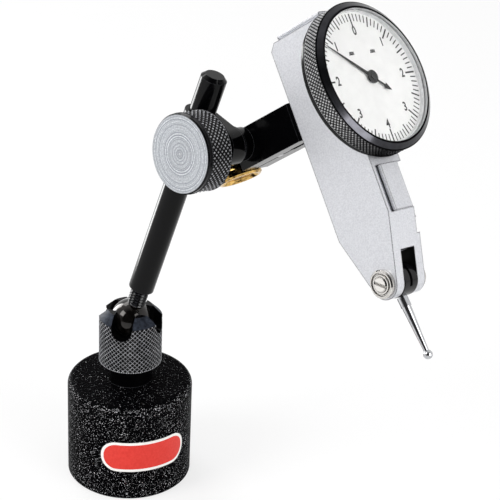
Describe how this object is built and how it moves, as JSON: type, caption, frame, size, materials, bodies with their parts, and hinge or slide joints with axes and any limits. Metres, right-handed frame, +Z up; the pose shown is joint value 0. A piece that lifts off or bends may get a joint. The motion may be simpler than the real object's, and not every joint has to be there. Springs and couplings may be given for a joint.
{
  "type": "dial test indicator",
  "caption": "Lever-type dial test indicator held in a dovetail clamp on a leaning post with a ball joint and a round magnetic base",
  "frame": {"origin": "centre of the magnet face, the flat underside of the round base", "axes": "Z points up along the base's own axis; X and Y lie in the magnet face, with X towards the side that the post leans to"},
  "size_m": [0.0864, 0.0617, 0.1327],
  "materials": {
    "black_wrinkle": "black wrinkle enamel",
    "magnet_alloy": "bare cast magnet alloy",
    "ground_steel": "ground steel",
    "spacer_brass": "turned brass",
    "black_oxide": "gloss black oxide",
    "black_knurl": "satin black oxide, knurled",
    "ball_steel": "bright polished steel",
    "knob_steel": "turned grey steel",
    "jaw_brass": "polished brass",
    "satin_chrome": "satin chrome plating",
    "bright_nickel": "bright nickel",
    "bezel_black": "gloss black enamel",
    "dial_white": "matt white enamel",
    "polished_rim": "polished",
    "crystal_clear": "clear acrylic",
    "gasket_black": "matt",
    "lever_steel": "lapped steel",
    "point_steel": "polished hard steel",
    "movement_brass": "brushed brass",
    "jewel_red": "synthetic ruby",
    "pointer_black": "matt black",
    "hub_black": "black oxide"
  },
  "bodies": {
    "base": {"base_housing": "black_wrinkle", "magnet": "magnet_alloy", "pole_piece": "ground_steel", "spacer_ring": "spacer_brass", "socket_stud": "black_oxide"},
    "lock_nut": {"lock_nut": "black_knurl"},
    "ball_stud": {"ball_stud": "ball_steel"},
    "post": {"post_rod": "black_oxide"},
    "snug": {"snug_block": "black_oxide", "swivel_washer": "knob_steel"},
    "clamp_knob": {"clamp_knob": "knob_steel", "clamp_screw": "knob_steel"},
    "clamp_arm": {"near_jaw": "black_oxide", "far_jaw": "black_oxide", "fulcrum_pin": "ground_steel"},
    "jaw_screw": {"jaw_screw": "jaw_brass"},
    "indicator": {"case": "satin_chrome", "side_cover": "satin_chrome", "cover_screws": "ground_steel", "pivot_screws": "bright_nickel", "lock_rings": "bright_nickel", "dial_housing": "bezel_black", "housing_screws": "ground_steel", "movement_bridge": "movement_brass", "bridge_pillars": "movement_brass", "centre_bracket": "movement_brass", "jewels": "jewel_red", "hairspring": "movement_brass", "hairspring_stud": "movement_brass"},
    "bezel": {"bezel": "bezel_black", "dial_face": "dial_white", "dial_retainer": "polished_rim", "crystal": "crystal_clear", "crystal_gasket": "gasket_black"},
    "lever": {"measuring_lever": "lever_steel", "pivot_shaft": "lever_steel", "drive_pin": "lever_steel"},
    "contact": {"contact_hub": "hub_black", "friction_washers": "lever_steel", "contact_point": "point_steel", "contact_ball": "point_steel"},
    "sector": {"sector_gear": "movement_brass", "sector_arbor": "lever_steel"},
    "crown": {"crown_wheel": "movement_brass", "crown_pinion": "lever_steel", "hairspring_collet": "movement_brass"},
    "pointer": {"centre_pinion": "lever_steel", "pointer": "pointer_black", "pointer_hub": "pointer_black"}
  },
  "joints": [
    {"name": "nut_turn", "type": "hinge", "parent": "base", "child": "lock_nut", "pos_m": [0, 0, 0.044], "axis": [0, 0, 1], "range_deg": [-90, 90]},
    {"name": "ball_lean", "type": "hinge", "parent": "base", "child": "ball_stud", "pos_m": [0, 0, 0.044], "axis": [0.2295, 0.9733, 0], "range_deg": [-106.2, 73.7]},
    {"name": "post_turn", "type": "hinge", "parent": "ball_stud", "child": "post", "pos_m": [0, 0, 0.044], "axis": [0.2722, -0.0642, 0.9601], "continuous": true},
    {"name": "snug_slide", "type": "slide", "parent": "post", "child": "snug", "axis": [0.2722, -0.0642, 0.9601], "range_m": [-0.03, 0.009]},
    {"name": "knob_turn", "type": "hinge", "parent": "snug", "child": "clamp_knob", "pos_m": [0.02882, -0.0005, 0.09363], "axis": [-0.6788, -0.7201, 0.1443], "range_deg": [0, 360]},
    {"name": "arm_swivel", "type": "hinge", "parent": "snug", "child": "clamp_arm", "pos_m": [0.02882, -0.0005, 0.09363], "axis": [-0.6788, -0.7201, 0.1443], "range_deg": [-60, 120]},
    {"name": "jaw_screw_turn", "type": "hinge", "parent": "clamp_arm", "child": "jaw_screw", "pos_m": [0.02351, 0.00347, 0.08848], "axis": [0.374, -0.508, -0.7759], "range_deg": [0, 360]},
    {"name": "dovetail_slide", "type": "slide", "parent": "clamp_arm", "child": "indicator", "axis": [0.374, -0.508, -0.7759], "range_m": [-0.024, 0.008]},
    {"name": "bezel_turn", "type": "hinge", "parent": "indicator", "child": "bezel", "pos_m": [0.05376, -0.0191, 0.11813], "axis": [0.632, -0.4727, 0.6141], "continuous": true},
    {"name": "pointer_turn", "type": "hinge", "parent": "indicator", "child": "pointer", "pos_m": [0.05376, -0.0191, 0.11813], "axis": [0.632, -0.4727, 0.6141], "range_deg": [-240, 132]},
    {"name": "crown_turn", "type": "hinge", "parent": "indicator", "child": "crown", "pos_m": [0.04649, -0.01366, 0.11107], "axis": [0.6788, 0.7201, -0.1443], "range_deg": [-48, 26.5], "stiffness_Nm_per_rad": 0.00006},
    {"name": "sector_turn", "type": "hinge", "parent": "indicator", "child": "sector", "pos_m": [0.05134, -0.02025, 0.10101], "axis": [0.6788, 0.7201, -0.1443], "range_deg": [-2.2, 4]},
    {"name": "lever_turn", "type": "hinge", "parent": "indicator", "child": "lever", "pos_m": [0.06224, -0.03536, 0.07686], "axis": [0.6788, 0.7201, -0.1443], "range_deg": [-0.425, 0.23]},
    {"name": "contact_set", "type": "hinge", "parent": "lever", "child": "contact", "pos_m": [0.06224, -0.03536, 0.07686], "axis": [0.6788, 0.7201, -0.1443], "range_deg": [-95, 105]}
  ],
  "couplings": [
    {"joint": "pointer_turn", "follows": "lever_turn", "ratio": 550},
    {"joint": "crown_turn", "follows": "lever_turn", "ratio": 110},
    {"joint": "sector_turn", "follows": "lever_turn", "ratio": -9.1667}
  ]
}
